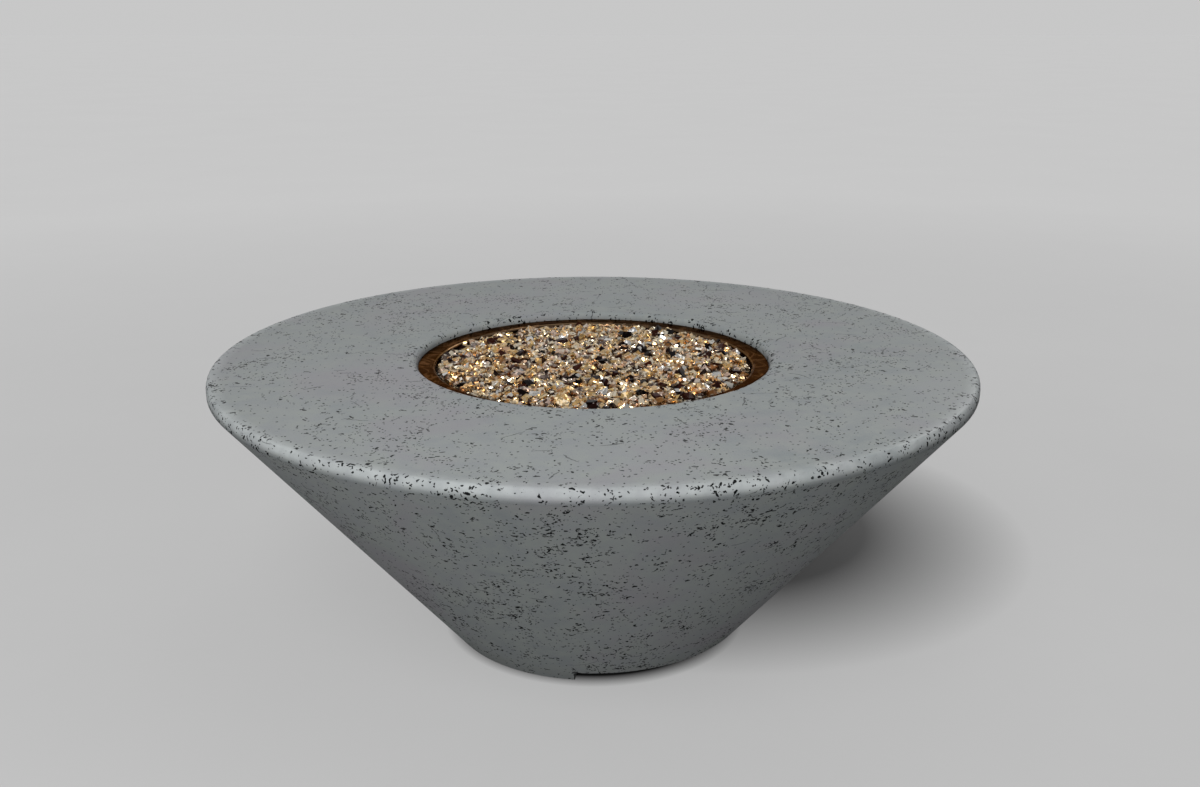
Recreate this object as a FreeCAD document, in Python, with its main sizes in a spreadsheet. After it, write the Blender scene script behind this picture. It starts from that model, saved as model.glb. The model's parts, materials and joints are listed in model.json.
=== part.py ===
"""Round fire pit table, in millimetres, standing on z = 0 with +Z up and its front towards -Y.

A hollow concrete cone carries a stainless burner pan in a rebate round its opening. The pan
holds a four-armed star burner under a bed of broken tempered glass. A quarter-turn key valve
in the rear wall feeds the burner through a hose inside the hollow.
"""
import FreeCAD, Part
import math
import os
import random
import re

import Sketcher
from FreeCAD import Placement, Rotation, Vector

# Driving dimensions, in millimetres, degrees and counts
SIZES = {
    # Concrete shell
    "rim_radius": 609.6,
    "table_height": 465.0,
    "rim_edge": 19.0,
    "rim_round": 8.0,
    "rim_under_round": 5.0,
    "base_radius": 238.0,
    "base_chamfer": 3.0,
    "wall": 20.0,
    "top_slab": 24.0,
    "cove": 20.0,
    "opening_radius": 285.75,
    "opening_round": 10.0,
    "ledge_width": 24.0,
    "ledge_thickness": 24.0,
    "collar_wall": 28.0,
    # Gaps under the base, between the two foot pads
    "vent_height": 25.0,
    "vent_angle": 90.0,
    "vent_middle": -52.0,
    "vent_round": 8.0,
    # Burner pan and its gasket
    "flange_drop": 12.0,
    "flange_gap": 1.5,
    "gasket_thickness": 3.0,
    "gasket_inset": 4.0,
    "pan_gauge": 1.6,
    "well_radius": 257.0,
    "well_depth": 80.0,
    "flange_bend": 3.4,
    "floor_bend": 16.0,
    "weep_radius": 3.0,
    "weep_circle": 225.0,
    "weep_count": 6,
    # Star burner
    "arm_count": 4,
    "arm_reach": 82.0,
    "arm_radius": 9.5,
    "arm_wall": 1.6,
    "burner_lift": 22.0,
    "hub_radius": 17.0,
    "hub_height": 32.0,
    "port_radius": 1.5,
    "port_start": 30.0,
    "port_spacing": 16.0,
    "arm_ports": 3,
    # Half-inch pipe work
    "pipe_radius": 10.65,
    "pipe_bore": 7.9,
    "thread_fit": 0.05,
    "socket_depth": 15.0,
    "socket_spare": 1.0,
    "edge_chamfer": 1.0,
    "washer_radius": 19.0,
    "washer_thickness": 2.0,
    "locknut_flats": 32.0,
    "locknut_height": 8.0,
    "mixer_gap": 1.4,
    "mixer_length": 56.0,
    "mixer_radius": 14.5,
    "mixer_flats": 27.0,
    "mixer_throat": 7.0,
    "mixer_port_radius": 3.0,
    "jet_length": 12.0,
    "jet_bore": 1.3,
    # Flare fittings and hose
    "adapter_flats": 22.0,
    "adapter_hex": 10.0,
    "adapter_bore": 5.0,
    "flare_radius": 9.5,
    "flare_length": 12.0,
    "flare_nose": 2.5,
    "nut_flats": 24.0,
    "nut_length": 24.0,
    "nut_start": 12.0,
    "hose_radius": 8.0,
    "hose_bore": 6.0,
    "collar_flange": 9.2,
    "collar_thickness": 2.0,
    "hose_clearance": 0.25,
    "hose_first_run": 82.0,
    "hose_last_run": 58.0,
    # Key valve, with its axis square to the sloping wall
    "valve_height": 235.0,
    "valve_setback": 64.0,
    "ball_radius": 11.0,
    "ball_bore": 6.5,
    "running_fit": 0.08,
    "chamber_radius": 12.2,
    "chamber_half": 7.5,
    "seat_radius": 10.5,
    "seat_front": 5.5,
    "seat_back": 11.5,
    "barrel_radius": 17.5,
    "barrel_outlet": 22.0,
    "barrel_inlet": 20.0,
    "valve_flats": 28.0,
    "inlet_end": 34.0,
    "outlet_end": 40.0,
    "cap_thread": 13.5,
    "boss_radius": 15.5,
    "boss_top": 34.0,
    "stem_radius": 5.6,
    "stem_square": 8.0,
    "square_start": 30.0,
    "stem_top": 41.0,
    "tang_width": 5.0,
    "tang_radius": 5.2,
    "tang_start": 7.2,
    "stem_collar_radius": 7.2,
    "stem_collar_start": 11.3,
    "stem_shoulder": 14.0,
    "packing_start": 18.0,
    "packing_height": 4.0,
    "packing_radius": 9.0,
    "gland_height": 4.5,
    "gland_slot": 3.0,
    "sleeve_start": 27.0,
    "sleeve_radius": 12.0,
    "sleeve_bore": 9.0,
    "sleeve_stand": 3.0,
    "passage_radius": 13.5,
    "cover_radius": 32.0,
    "cover_rim": 2.0,
    "cover_thickness": 6.0,
    "cover_land": 17.0,
    "cover_recess": 1.5,
    "cover_margin": 1.5,
    "nut_seat_depth": 0.7,
    "nut_seat_radius": 22.0,
    "sleeve_washer_radius": 20.0,
    "sleeve_nut_height": 7.0,
    # Valve key
    "key_fit": 0.15,
    "key_socket_radius": 7.5,
    "key_socket_start": 30.5,
    "key_socket_depth": 11.5,
    "key_socket_length": 17.0,
    "key_shaft_radius": 5.0,
    "key_reach": 70.0,
    "key_head_radius": 7.0,
    "key_head_height": 14.0,
    "key_bar_radius": 4.0,
    "key_bar_length": 72.0,
    # Fire glass
    "glass_gap": 0.5,
    "glass_drop": 15.0,
    "glass_clearance": 1.0,
    "piece_rings": 10,
    "piece_height": 13.0,
}

# Lines that the sizes set, as expressions of the sheet's names
RUN = "(rim_radius - base_radius)"
RISE = "(table_height - rim_edge)"
SLANT = f"sqrt({RUN} ^ 2 + {RISE} ^ 2)"
WALL_ACROSS = f"(wall * {SLANT} / {RISE})"
SLAB_UNDER = "(table_height - top_slab)"
FLANGE_TOP = "(table_height - flange_drop)"
LEDGE_TOP = f"({FLANGE_TOP} - pan_gauge - gasket_thickness)"
LEDGE_BORE = "(opening_radius - ledge_width)"
PAN_FLOOR = f"({FLANGE_TOP} - well_depth)"
PAN_UNDER = f"({PAN_FLOOR} - pan_gauge)"
BURNER_CENTRE = f"({PAN_FLOOR} + burner_lift + arm_radius)"
HUB_UNDER = f"({BURNER_CENTRE} - hub_height / 2)"
HUB_TOP = f"({BURNER_CENTRE} + hub_height / 2)"
SOCKET = "(pipe_radius + thread_fit)"
MIXER_TOP = f"({PAN_UNDER} - washer_thickness - locknut_height - mixer_gap)"
MIXER_UNDER = f"({MIXER_TOP} - mixer_length)"
GLASS_TOP = f"({FLANGE_TOP} - glass_drop)"
VALVE_ACROSS = f"(base_radius + valve_height * {RUN} / {RISE})"
LEAN = f"acos(0 - {RUN} / {SLANT})"

doc = FreeCAD.newDocument("FirePitTable")
sheet = doc.addObject("Spreadsheet::Sheet", "Sizes")
for row, (alias, value) in enumerate(SIZES.items(), start=1):
    sheet.set(f"A{row}", alias)
    sheet.set(f"B{row}", str(value))
    sheet.setAlias(f"B{row}", alias)
doc.recompute()

SIZE_NAME = re.compile(r"\b([a-z][a-z_]*)\b(?!\()")
subparts = []


def bound(expression):
    """The expression with each size's name written as its cell of the sheet."""
    return SIZE_NAME.sub(r"Sizes.\1", str(expression))


def number(expression):
    """What an expression of the sheet's names comes to."""
    result = sheet.evalExpression(bound(expression))
    return float(getattr(result, "Value", result))


# Sketches

def new_body(label):
    """A body that is one sub-part of the table."""
    body = doc.addObject("PartDesign::Body", label)
    body.Label = label
    subparts.append(body)
    return body


def origin_feature(body, role):
    return next(f for f in body.Origin.OriginFeatures if f.Role == role)


def new_sketch(body, name, plane="XZ_Plane", across=None, up=None, out=None, turn=None):
    """A sketch on one of the body's origin planes, shifted and turned in that plane by expressions."""
    sketch = body.newObject("Sketcher::SketchObject", name)
    sketch.AttachmentSupport = (origin_feature(body, plane), [""])
    sketch.MapMode = "FlatFace"
    sketch.AttachmentOffset = Placement(Vector(), Rotation(Vector(0, 0, 1), 1))
    for path, expression in (("Base.x", across), ("Base.y", up), ("Base.z", out)):
        if expression is not None:
            sketch.setExpression(f"AttachmentOffset.{path}", bound(expression))
    sketch.setExpression("AttachmentOffset.Rotation.Angle", bound(turn if turn is not None else 0))
    return sketch


def place_point(sketch, geometry, end, across, up):
    """Ties a point to its place, each coordinate to an expression of the sheet."""
    for kind, axis, expression in (("DistanceX", -2, across), ("DistanceY", -1, up)):
        if str(expression) == "0":
            sketch.addConstraint(Sketcher.Constraint("PointOnObject", geometry, end, axis))
            continue
        rule = Sketcher.Constraint(kind, -1, 1, geometry, end, number(expression))
        index = sketch.addConstraint(rule)
        sketch.setExpression(f"Constraints[{index}]", bound(expression))


def outline(sketch, corners):
    """A closed outline through the corners, each (across, up) or (across, up, rounding)."""
    spots = [Vector(number(corner[0]), number(corner[1]), 0) for corner in corners]
    roundings = [corner[2] if len(corner) > 2 else None for corner in corners]
    count = len(corners)
    arrive, leave, bends = [], [], []
    for i, spot in enumerate(spots):
        back = (spots[i - 1] - spot).normalize()
        ahead = (spots[(i + 1) % count] - spot).normalize()
        half = back.getAngle(ahead) / 2
        radius = number(roundings[i]) if roundings[i] else 0.0
        arrive.append(spot + back * (radius / math.tan(half)))
        leave.append(spot + ahead * (radius / math.tan(half)))
        middle = spot + (back + ahead).normalize() * (radius / math.sin(half)) if radius else spot
        bends.append((middle, radius))
    lines = []
    for i in range(count):
        segment = Part.LineSegment(leave[i], arrive[(i + 1) % count])
        lines.append(sketch.addGeometry(segment, False))
    for i, (across, up) in enumerate(corner[:2] for corner in corners):
        into, out = lines[i - 1], lines[i]
        if not roundings[i]:
            sketch.addConstraint(Sketcher.Constraint("Coincident", into, 2, out, 1))
            place_point(sketch, out, 1, across, up)
            continue
        middle, radius = bends[i]
        first, last = arrive[i] - middle, leave[i] - middle
        left_turn = first.cross(last).z > 0
        start = first if left_turn else last
        sweep = first.getAngle(last)
        begin = math.atan2(start.y, start.x)
        circle = Part.Circle(middle, Vector(0, 0, 1), radius)
        arc = sketch.addGeometry(Part.ArcOfCircle(circle, begin, begin + sweep), False)
        corner_point = sketch.addGeometry(Part.Point(spots[i]), True)
        place_point(sketch, corner_point, 1, across, up)
        sketch.addConstraint([
            Sketcher.Constraint("PointOnObject", corner_point, 1, into),
            Sketcher.Constraint("PointOnObject", corner_point, 1, out),
            Sketcher.Constraint("Tangent", into, 2, arc, 1 if left_turn else 2),
            Sketcher.Constraint("Tangent", arc, 2 if left_turn else 1, out, 1),
        ])
        size = sketch.addConstraint(Sketcher.Constraint("Radius", arc, radius))
        sketch.setExpression(f"Constraints[{size}]", bound(roundings[i]))


def circle(sketch, across, up, radius):
    """A circle whose centre and radius are tied to the sheet."""
    centre = Vector(number(across), number(up), 0)
    ring = sketch.addGeometry(Part.Circle(centre, Vector(0, 0, 1), number(radius)), False)
    place_point(sketch, ring, 3, across, up)
    size = sketch.addConstraint(Sketcher.Constraint("Radius", ring, number(radius)))
    sketch.setExpression(f"Constraints[{size}]", bound(radius))


def hexagon(sketch, flats):
    """A hexagon of that width across its flats, about the sketch's origin."""
    reach = f"({flats}) / sqrt(3)"
    outline(sketch, [(f"{reach} * cos({60 * k})", f"{reach} * sin({60 * k})") for k in range(6)])


def rectangle(sketch, left, right, low, high):
    outline(sketch, [(left, low), (right, low), (right, high), (left, high)])


# Features

def turn_round(body, sketch, cut=False):
    """Turns a sketch round its upright axis, to add a solid or to cut one."""
    kind = "Groove" if cut else "Revolution"
    feature = body.newObject(f"PartDesign::{kind}", f"{sketch.Name}_{kind.lower()}")
    feature.Profile = sketch
    feature.ReferenceAxis = (sketch, ["V_Axis"])
    feature.Angle = 360
    return feature


def extrude(body, sketch, length=None, cut=False, reverse=False, both=False):
    """Pads or pockets a sketch by a length, or cuts all the way when no length is given."""
    kind = "Pocket" if cut else "Pad"
    feature = body.newObject(f"PartDesign::{kind}", f"{sketch.Name}_{kind.lower()}")
    feature.Profile = sketch
    feature.SideType = "Symmetric" if both else "One side"
    feature.Reversed = reverse
    if length is None:
        feature.Type = "ThroughAll"
    else:
        feature.setExpression("Length", bound(length))
    return feature


def repeat_round(body, feature, count):
    """Repeats a feature evenly round the body's Z axis."""
    doc.recompute()
    pattern = body.newObject("PartDesign::PolarPattern", f"{feature.Name}_pattern")
    pattern.Originals = [feature]
    pattern.Axis = (origin_feature(body, "Z_Axis"), [""])
    pattern.Angle = 360
    pattern.setExpression("Occurrences", bound(count))
    body.Tip = pattern
    return pattern


def turned(label, corners):
    """A sub-part turned round its own Z axis from one outline."""
    body = new_body(label)
    sketch = new_sketch(body, f"{label}_profile")
    outline(sketch, corners)
    turn_round(body, sketch)
    return body


def cut_round(body, name, corners, **where):
    """Cuts the space that an outline sweeps round its sketch's upright axis."""
    sketch = new_sketch(body, name, **where)
    outline(sketch, corners)
    return turn_round(body, sketch, cut=True)


def hex_prism(label, flats, low, high):
    """A hexagonal bar along Z whose corners are turned down at both ends."""
    body = new_body(label)
    sketch = new_sketch(body, f"{label}_hexagon", "XY_Plane", out=low)
    hexagon(sketch, flats)
    extrude(body, sketch, f"({high}) - ({low})")
    tip = f"(({flats}) * 0.62)"
    land = f"(({flats}) * 0.49)"
    fall = f"(({tip} - {land}) * tan(30))"
    corners = new_sketch(body, f"{label}_corners")
    outline(corners, [(land, high), (tip, high), (tip, f"({high}) - {fall}")])
    outline(corners, [(land, low), (tip, low), (tip, f"({low}) + {fall}")])
    turn_round(body, corners, cut=True)
    return body


def group(label, body, places):
    """One node with a copy of a body at each place."""
    subparts.remove(body)
    body.Label = f"{label}_one"
    copies = []
    for number_in_group, place in enumerate(places, start=1):
        copy = doc.addObject("App::Link", f"{label}_{number_in_group}")
        copy.LinkedObject = body
        copy.LinkTransform = False
        copy.Placement = place
        copies.append(copy)
    compound = doc.addObject("Part::Compound", label)
    compound.Label = label
    compound.Links = copies
    subparts.append(compound)
    return compound


def solid_node(label, shape):
    """A sub-part whose shape is made with Part's own functions."""
    feature = doc.addObject("Part::Feature", label)
    feature.Label = label
    feature.Shape = shape
    feature.Placement = Placement()
    subparts.append(feature)
    return feature


# Places

def upright(height=0.0):
    return Placement(Vector(0, 0, height), Rotation())


def valve_frame():
    """Origin on the cone's outer face behind the table, Z square to the wall and outward."""
    origin = Vector(0, number(VALVE_ACROSS), number("valve_height"))
    return Placement(origin, Rotation(Vector(-1, 0, 0), number(LEAN)))


def flow_frame(towards=1):
    """Origin at the valve's ball, Z along the gas flow: +X at the outlet, -X at the inlet."""
    centre = Placement(Vector(0, 0, -number("valve_setback")), Rotation())
    along = Placement(Vector(), Rotation(Vector(0, 1, 0), 90 * towards))
    return valve_frame().multiply(centre).multiply(along)


def hub_adapter_frame():
    """Origin at the air mixer's lower end, Z straight down."""
    return Placement(Vector(0, 0, number(MIXER_UNDER)), Rotation(Vector(1, 0, 0), 180))


def outlet_adapter_frame():
    shift = Placement(Vector(0, 0, number("outlet_end")), Rotation())
    return flow_frame().multiply(shift)


def inlet_adapter_frame():
    shift = Placement(Vector(0, 0, number("inlet_end")), Rotation())
    return flow_frame(-1).multiply(shift)


# Concrete shell

def concrete_shell():
    """The hollow cone with its flat top, the rebate for the pan, two foot pads and the valve hole."""
    body = new_body("concrete_shell")
    base_bore = f"(base_radius - {WALL_ACROSS})"
    cone_bore = f"({base_bore} + {SLAB_UNDER} * {RUN} / {RISE})"
    collar = "(opening_radius + collar_wall)"
    ledge_under = f"({LEDGE_TOP} - ledge_thickness)"
    profile = new_sketch(body, "shell_profile")
    outline(profile, [
        (base_bore, 0),
        ("base_radius - base_chamfer", 0),
        (f"base_radius + base_chamfer * {RUN} / {RISE}", "base_chamfer"),
        ("rim_radius", "table_height - rim_edge", "rim_under_round"),
        ("rim_radius", "table_height", "rim_round"),
        ("opening_radius", "table_height", "opening_round"),
        ("opening_radius", LEDGE_TOP),
        (LEDGE_BORE, LEDGE_TOP),
        (LEDGE_BORE, ledge_under),
        (collar, ledge_under),
        (collar, SLAB_UNDER),
        (f"{cone_bore} - cove", SLAB_UNDER),
        (f"{cone_bore} - cove * {RUN} / {RISE}", f"{SLAB_UNDER} - cove"),
    ])
    turn_round(body, profile)

    wedge = new_sketch(body, "vent_wedge", "XY_Plane")
    reach = "(base_radius + 3 * vent_height)"
    first = "(vent_middle - vent_angle / 2)"
    last = "(vent_middle + vent_angle / 2)"
    far = f"({reach} / cos(vent_angle / 2))"
    outline(wedge, [
        (0, 0),
        (f"{reach} * cos({first})", f"{reach} * sin({first})"),
        (f"{far} * cos(vent_middle)", f"{far} * sin(vent_middle)"),
        (f"{reach} * cos({last})", f"{reach} * sin({last})"),
    ])
    gap = extrude(body, wedge, "vent_height", cut=True, reverse=True)
    gaps = repeat_round(body, gap, 2)
    doc.recompute()
    ceiling = number("vent_height")
    corners = [
        f"Edge{index}"
        for index, edge in enumerate(gaps.Shape.Edges, start=1)
        if edge.Curve.TypeId == "Part::GeomLine"
        and all(abs(vertex.Z - ceiling) < 0.001 for vertex in edge.Vertexes)
    ]
    rounding = body.newObject("PartDesign::Fillet", "vent_corners")
    rounding.Base = (gaps, corners)
    rounding.setExpression("Radius", bound("vent_round"))

    cover_seat = "(cover_radius + cover_margin)"
    inner_seat = "(nut_seat_depth - wall)"
    cut_round(body, "valve_hole", [
        (0, "cover_radius"),
        (cover_seat, "cover_radius"),
        (cover_seat, "0 - cover_recess"),
        ("passage_radius", "0 - cover_recess"),
        ("passage_radius", inner_seat),
        ("nut_seat_radius", inner_seat),
        ("nut_seat_radius", "0 - valve_setback"),
        (0, "0 - valve_setback"),
    ], plane="YZ_Plane", across=VALVE_ACROSS, up="valve_height", turn=f"-1 * {LEAN}")
    return body


# Burner pan and its gasket

def pan_gasket():
    inner = f"({LEDGE_BORE} + gasket_inset)"
    outer = "(opening_radius - gasket_inset)"
    top = f"({LEDGE_TOP} + gasket_thickness)"
    return turned("pan_gasket", [(inner, LEDGE_TOP), (outer, LEDGE_TOP), (outer, top), (inner, top)])


def burner_pan():
    """The drop-in pan, bent from sheet: flange, straight well, flat floor with a hub hole and drains."""
    flange_edge = "(opening_radius - flange_gap)"
    flange_under = f"({FLANGE_TOP} - pan_gauge)"
    outside = "(well_radius + pan_gauge)"
    body = turned("burner_pan", [
        (SOCKET, PAN_FLOOR),
        ("well_radius", PAN_FLOOR, "floor_bend"),
        ("well_radius", FLANGE_TOP, "flange_bend + pan_gauge"),
        (flange_edge, FLANGE_TOP),
        (flange_edge, flange_under),
        (outside, flange_under, "flange_bend"),
        (outside, PAN_UNDER, "floor_bend + pan_gauge"),
        (SOCKET, PAN_UNDER),
    ])
    drain = new_sketch(body, "drain_hole", "XY_Plane")
    circle(drain, "weep_circle", 0, "weep_radius")
    hole = extrude(body, drain, cut=True, reverse=True)
    repeat_round(body, hole, "weep_count")
    return body


# Star burner

def chamfered(low, high, radius):
    """The outside of a round piece from its lower to its upper end, with both edges chamfered."""
    narrow = f"({radius} - edge_chamfer)"
    return [
        (narrow, low),
        (radius, f"{low} + edge_chamfer"),
        (radius, f"{high} - edge_chamfer"),
        (narrow, high),
    ]


def star_burner():
    """Drilled tubes that stand out from a central hub, closed at their ends and hollow inside."""
    body = new_body("star_burner")
    hub = new_sketch(body, "burner_hub")
    outline(hub, [(0, HUB_UNDER), *chamfered(HUB_UNDER, HUB_TOP, "hub_radius"), (0, HUB_TOP)])
    turn_round(body, hub)
    arm = new_sketch(body, "arm", "YZ_Plane")
    circle(arm, 0, BURNER_CENTRE, "arm_radius")
    repeat_round(body, extrude(body, arm, "arm_reach"), "arm_count")
    bore = new_sketch(body, "arm_bore", "YZ_Plane")
    circle(bore, 0, BURNER_CENTRE, "arm_radius - arm_wall")
    hollow = extrude(body, bore, "arm_reach - arm_wall", cut=True, reverse=True)
    repeat_round(body, hollow, "arm_count")
    cut_round(body, "hub_socket", [
        (0, HUB_UNDER),
        (SOCKET, HUB_UNDER),
        (SOCKET, f"{HUB_UNDER} + socket_depth"),
        (0, f"{HUB_UNDER} + socket_depth"),
    ])
    ports = new_sketch(body, "ports", "XY_Plane", out=BURNER_CENTRE)
    for k in range(int(number("arm_ports"))):
        circle(ports, f"port_start + {k} * port_spacing", 0, "port_radius")
    repeat_round(body, extrude(body, ports, cut=True, reverse=True), "arm_count")
    return body


# Pipe work under the pan

def hub_nipple():
    """The pipe that carries the burner and brings its gas up through the pan's floor."""
    low = f"({MIXER_TOP} - socket_depth + socket_spare)"
    high = f"({HUB_UNDER} + socket_depth - socket_spare)"
    return turned("hub_nipple", [
        ("pipe_bore", low), *chamfered(low, high, "pipe_radius"), ("pipe_bore", high),
    ])


def hub_washers():
    washer = turned("hub_washer", [
        (SOCKET, 0),
        ("washer_radius", 0),
        ("washer_radius", "washer_thickness"),
        (SOCKET, "washer_thickness"),
    ])
    under = number(PAN_UNDER) - number("washer_thickness")
    return group("hub_washers", washer, [upright(number(PAN_FLOOR)), upright(under)])


def hub_locknuts():
    nut = hex_prism("hub_locknut", "locknut_flats", "0", "locknut_height")
    cut_round(nut, "hub_locknut_bore", [
        (0, 0), (SOCKET, 0), (SOCKET, "locknut_height"), (0, "locknut_height"),
    ])
    above = number(f"{PAN_FLOOR} + washer_thickness")
    under = number(f"{PAN_UNDER} - washer_thickness - locknut_height")
    return group("hub_locknuts", nut, [upright(above), upright(under)])


def air_mixer():
    """A fitting under the pan where air joins the gas through a hole drilled right across it."""
    hex_top = f"({MIXER_TOP} - socket_depth)"
    body = hex_prism("air_mixer", "mixer_flats", hex_top, MIXER_TOP)
    barrel = new_sketch(body, "mixer_barrel")
    outline(barrel, [
        (0, MIXER_UNDER),
        ("mixer_radius - edge_chamfer", MIXER_UNDER),
        ("mixer_radius", f"{MIXER_UNDER} + edge_chamfer"),
        ("mixer_radius", hex_top),
        (0, hex_top),
    ])
    turn_round(body, barrel)
    jet_seat = f"({MIXER_UNDER} + socket_depth)"
    jet_end = f"({jet_seat} + jet_length)"
    cut_round(body, "mixer_bore", [
        (0, MIXER_UNDER),
        (SOCKET, MIXER_UNDER),
        (SOCKET, jet_seat),
        ("mixer_throat", jet_seat),
        ("mixer_throat", hex_top),
        (SOCKET, hex_top),
        (SOCKET, MIXER_TOP),
        (0, MIXER_TOP),
    ])
    hole = new_sketch(body, "air_hole", "XZ_Plane")
    circle(hole, 0, f"({jet_end} + {hex_top}) / 2", "mixer_port_radius")
    extrude(body, hole, cut=True, both=True)
    return body


def mixer_jet():
    """The drilled plug that meters the gas, screwed into the air mixer's lower end."""
    low = f"({MIXER_UNDER} + socket_depth)"
    high = f"({low} + jet_length)"
    outside = "(mixer_throat - thread_fit)"
    return turned("mixer_jet", [
        ("mixer_throat / 2", low),
        (outside, low),
        (outside, f"{high} - jet_bore"),
        (f"{outside} - jet_bore", high),
        ("jet_bore", high),
        ("jet_bore", f"{high} - jet_length / 3"),
        ("mixer_throat / 2", f"{high} - jet_length / 2"),
    ])


def flare_adapter(label, place):
    """Pipe thread on one side of a hexagon and a flare fitting's thread and nose on the other."""
    body = hex_prism(label, "adapter_flats", "0", "adapter_hex")
    spigot = "(socket_spare - socket_depth)"
    tip = "(adapter_hex + flare_length)"
    ends = new_sketch(body, f"{label}_ends")
    outline(ends, [
        (0, spigot),
        ("pipe_radius - edge_chamfer", spigot),
        ("pipe_radius", f"{spigot} + edge_chamfer"),
        ("pipe_radius", 0),
        ("flare_radius", "adapter_hex"),
        ("flare_radius", f"{tip} - flare_nose"),
        ("flare_radius - flare_nose", tip),
        (0, tip),
    ])
    turn_round(body, ends)
    cut_round(body, f"{label}_bore", [
        (0, spigot), ("adapter_bore", spigot), ("adapter_bore", tip), (0, tip),
    ])
    body.Placement = place
    return body


def hose_flare_nuts():
    """The two nuts that pull the hose's flanged ends up to their adapters."""
    end = "(nut_start + nut_length)"
    nut = hex_prism("hose_flare_nut", "nut_flats", "nut_start", end)
    shoulder = "(adapter_hex + flare_length + collar_thickness)"
    thread = "(flare_radius + thread_fit)"
    passage = "(hose_radius + hose_clearance)"
    cut_round(nut, "hose_flare_nut_bore", [
        (0, "nut_start"),
        (thread, "nut_start"),
        (thread, shoulder),
        (passage, shoulder),
        (passage, end),
        (0, end),
    ])
    return group("hose_flare_nuts", nut, [hub_adapter_frame(), outlet_adapter_frame()])


# Hose

HOSE_MIDDLE = [(42, 48, 136), (115, 128, 140), (200, 217, 209), (200, 310, 246), (171, 357, 265)]


def rounded_route(points):
    """Straight runs joined by tangent arcs, with each arc's radius and the wire of the whole route."""
    edges, radii = [], []
    start = points[0]
    for before, corner, after in zip(points, points[1:], points[2:]):
        back = before - corner
        ahead = after - corner
        reach = 0.45 * min(back.Length, ahead.Length)
        half_turn = (math.pi - back.getAngle(ahead)) / 2
        radius = reach / math.tan(half_turn)
        back.normalize()
        ahead.normalize()
        arc_start = corner + back * reach
        arc_end = corner + ahead * reach
        inward = radius / math.cos(half_turn) - radius
        arc_middle = corner + (back + ahead).normalize() * inward
        edges.append(Part.LineSegment(start, arc_start).toShape())
        edges.append(Part.Arc(arc_start, arc_middle, arc_end).toShape())
        radii.append(radius)
        start = arc_end
    edges.append(Part.LineSegment(start, points[-1]).toShape())
    return Part.Wire(edges), radii


def tube_along(wire, start, direction, radius):
    """A round bar swept along a wire that starts there in that direction."""
    section = Part.Wire([Part.Circle(start, direction, radius).toShape()])
    return wire.makePipeShell([section], True, False)


def gas_hose():
    """The hose from the valve up to the burner's air mixer, with a flange at each end for its nut."""
    seat = number("adapter_hex + flare_length")
    first_bend = Vector(0, 0, seat + number("hose_first_run"))
    last_bend = Vector(0, 0, seat + number("hose_last_run"))
    first = hub_adapter_frame().multVec(Vector(0, 0, seat))
    last = outlet_adapter_frame().multVec(Vector(0, 0, seat))
    points = [
        first,
        hub_adapter_frame().multVec(first_bend),
        *[Vector(*point) for point in HOSE_MIDDLE],
        outlet_adapter_frame().multVec(last_bend),
        last,
    ]
    wire, radii = rounded_route(points)
    down = (points[1] - points[0]).normalize()
    outside = tube_along(wire, first, down, number("hose_radius"))
    bore = tube_along(wire, first, down, number("hose_bore"))
    section = math.pi * (number("hose_radius") ** 2 - number("hose_bore") ** 2)
    thickness = number("collar_thickness")
    hose = outside.cut(bore)
    print(f"hose length {wire.Length:.1f}, radii {[round(radius) for radius in radii]}")
    print(f"hose volume over section x length {hose.Volume / (section * wire.Length):.4f}")
    for frame in (hub_adapter_frame(), outlet_adapter_frame()):
        flange = Part.makeCylinder(number("collar_flange"), thickness, Vector(0, 0, seat))
        passage = Part.makeCylinder(number("hose_radius"), thickness, Vector(0, 0, seat))
        flange = flange.cut(passage)
        flange.Placement = frame
        hose = hose.fuse(flange)
    return solid_node("gas_hose", hose)


# Key valve

def valve_body():
    """Brass body with the ball chamber on the flow axis and a boss for the stem square to it."""
    body = hex_prism("valve_body", "valve_flats", "0 - inlet_end", "0 - barrel_inlet")
    barrel = new_sketch(body, "valve_barrel")
    outline(barrel, [
        (0, "0 - barrel_inlet"),
        *chamfered("0 - barrel_inlet", "barrel_outlet", "barrel_radius"),
        (0, "barrel_outlet"),
    ])
    turn_round(body, barrel)
    boss = new_sketch(body, "stem_boss", "YZ_Plane")
    circle(boss, 0, 0, "boss_radius")
    extrude(body, boss, "boss_top", reverse=True)
    cut_round(body, "flow_passage", [
        (0, "0 - inlet_end"),
        (SOCKET, "0 - inlet_end"),
        (SOCKET, "socket_depth - inlet_end"),
        ("ball_bore", "socket_depth - inlet_end"),
        ("ball_bore", "0 - seat_back"),
        ("seat_radius", "0 - seat_back"),
        ("seat_radius", "0 - chamber_half"),
        ("chamber_radius", "0 - chamber_half"),
        ("chamber_radius", "chamber_half"),
        ("cap_thread", "chamber_half"),
        ("cap_thread", "barrel_outlet"),
        (0, "barrel_outlet"),
    ])
    stem_hole = "(stem_radius + running_fit)"
    collar_hole = "(stem_collar_radius + 2 * running_fit)"
    cut_round(body, "stem_passage", [
        (0, 0),
        (collar_hole, 0),
        (collar_hole, "stem_shoulder"),
        (stem_hole, "stem_shoulder"),
        (stem_hole, "packing_start"),
        ("packing_radius", "packing_start"),
        ("packing_radius", "sleeve_start"),
        ("sleeve_radius + thread_fit", "sleeve_start"),
        ("sleeve_radius + thread_fit", "boss_top"),
        (0, "boss_top"),
    ], turn=90)
    body.Placement = flow_frame()
    return body


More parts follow.
